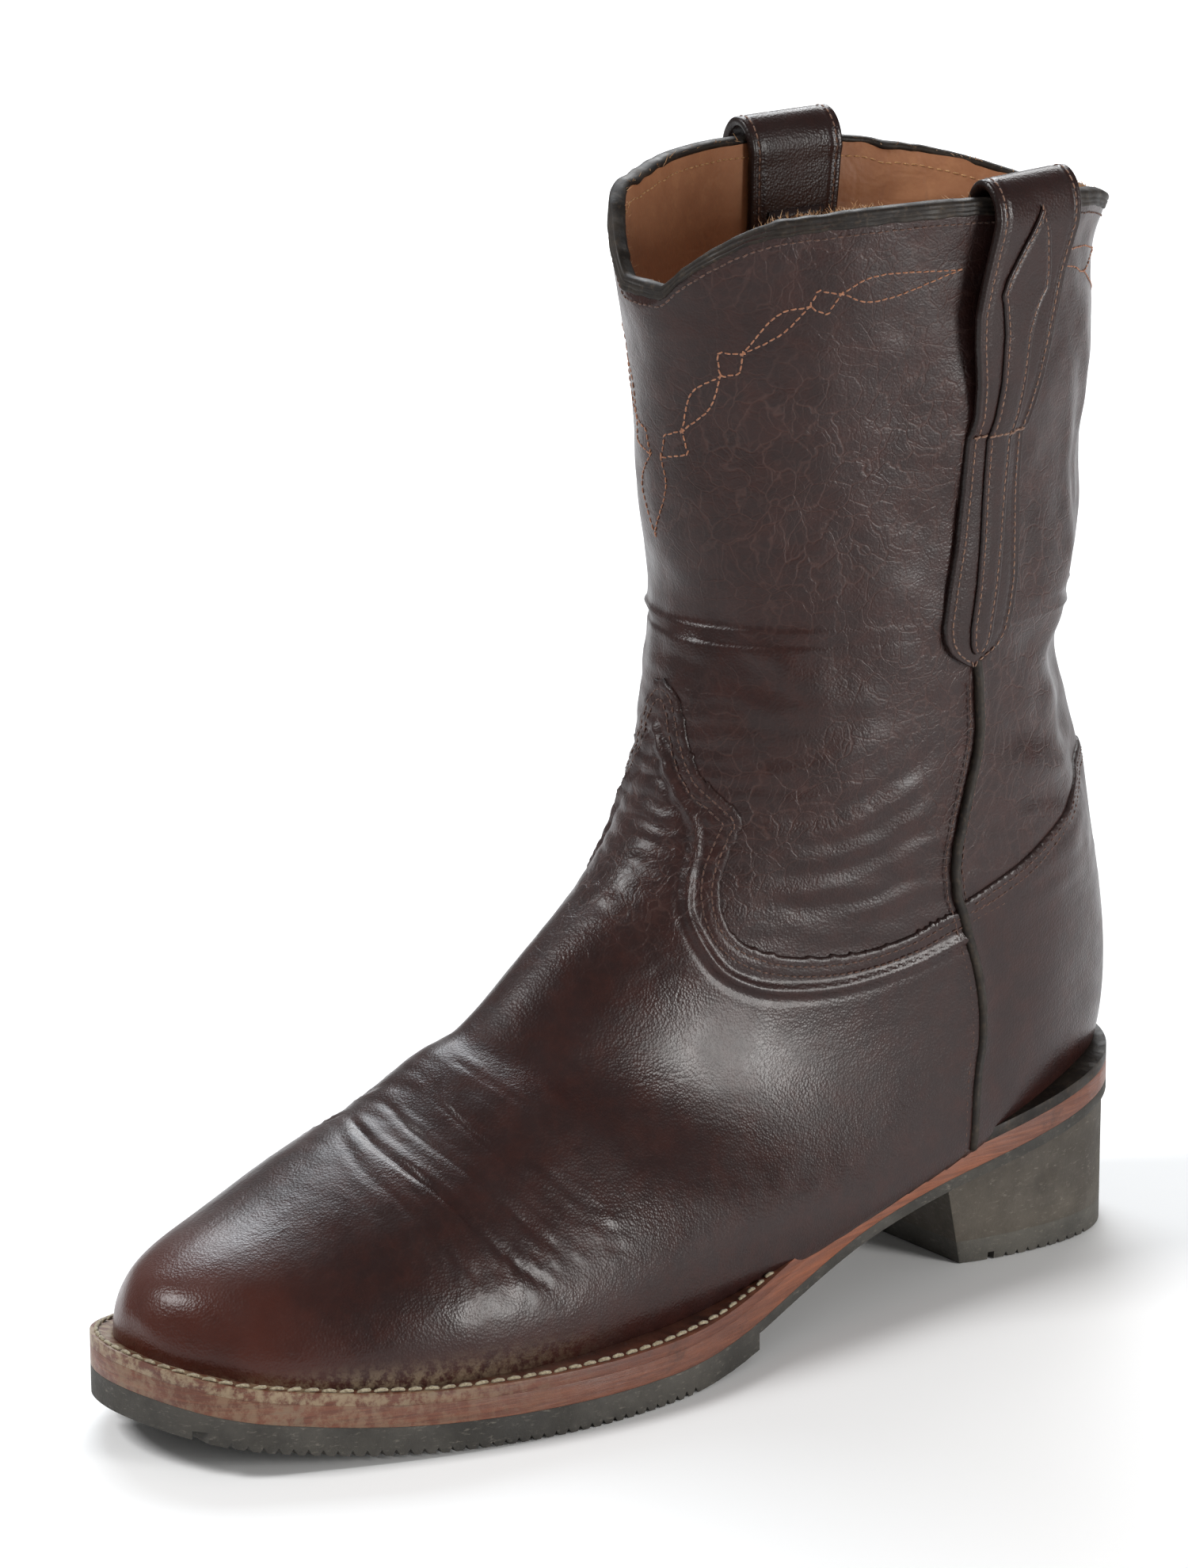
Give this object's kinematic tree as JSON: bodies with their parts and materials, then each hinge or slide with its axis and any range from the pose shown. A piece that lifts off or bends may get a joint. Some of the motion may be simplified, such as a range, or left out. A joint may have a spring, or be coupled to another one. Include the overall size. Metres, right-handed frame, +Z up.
{
  "type": "cowboy boot",
  "caption": "Left roper-style western boot: mid-height leather shaft with pull straps, stitched vamp and counter, welted sole with toothed rubber outsole and low heel.",
  "frame": {"origin": "on the floor under the middle of the heel's top lift", "axes": "+Z up, the toe points to -Y, the outer (lateral) side of the left foot faces +X"},
  "size_m": [0.1157, 0.3088, 0.2905],
  "materials": {
    "calf_leather": "polished dark brown calf",
    "edge_leather": "dark painted edge leather",
    "lining_leather": "tan vegetable-tanned lining",
    "strap_leather": "dark brown calf with burnished edges",
    "stiffener": "resin-stiffened fibre",
    "insole_leather": "smooth veg-tanned leather",
    "cork": "granulated cork",
    "welt_leather": "stained welt leather",
    "midsole_leather": "stained sole-leather edge",
    "welt_thread": "waxed thread",
    "outsole_rubber": "moulded rubber",
    "heel_rubber": "scuffed stacked heel base",
    "steel": "spring steel",
    "brass": "brass nails"
  },
  "bodies": {
    "boot": {"vamp": "calf_leather", "shaft_front_panel": "calf_leather", "shaft_back_panel": "calf_leather", "heel_counter_cover": "calf_leather", "side_piping_lateral": "edge_leather", "side_piping_medial": "edge_leather", "top_binding_front": "edge_leather", "top_binding_back": "edge_leather", "toe_box": "stiffener", "heel_counter": "stiffener", "vamp_lining": "lining_leather", "shaft_lining_front": "lining_leather", "shaft_lining_back": "lining_leather", "shank": "steel", "cork_filler": "cork", "insole": "insole_leather", "sock_lining": "insole_leather", "welt": "welt_leather", "heel_rand": "edge_leather", "midsole": "midsole_leather", "welt_stitches": "welt_thread", "outsole": "outsole_rubber", "heel_block": "heel_rubber", "heel_top_lift": "outsole_rubber", "heel_nails": "brass", "strap_tail_lateral": "strap_leather", "strap_tail_medial": "strap_leather", "tail_overlay_lateral": "strap_leather", "tail_overlay_medial": "strap_leather"},
    "strap_lateral": {"pull_strap_lateral": "strap_leather", "strap_overlay_lateral": "strap_leather"},
    "strap_medial": {"pull_strap_medial": "strap_leather", "strap_overlay_medial": "strap_leather"}
  },
  "joints": [
    {"name": "strap_lateral_sway", "type": "hinge", "parent": "boot", "child": "strap_lateral", "pos_m": [0.0465, -0.0355, 0.226], "axis": [0, 0.9951, -0.0993], "range_deg": [-1.1, 1.8], "stiffness_Nm_per_rad": 0.5},
    {"name": "strap_medial_sway", "type": "hinge", "parent": "boot", "child": "strap_medial", "pos_m": [-0.0465, -0.0355, 0.226], "axis": [0, 0.9951, -0.0993], "range_deg": [-1.8, 1.1], "stiffness_Nm_per_rad": 0.5}
  ]
}
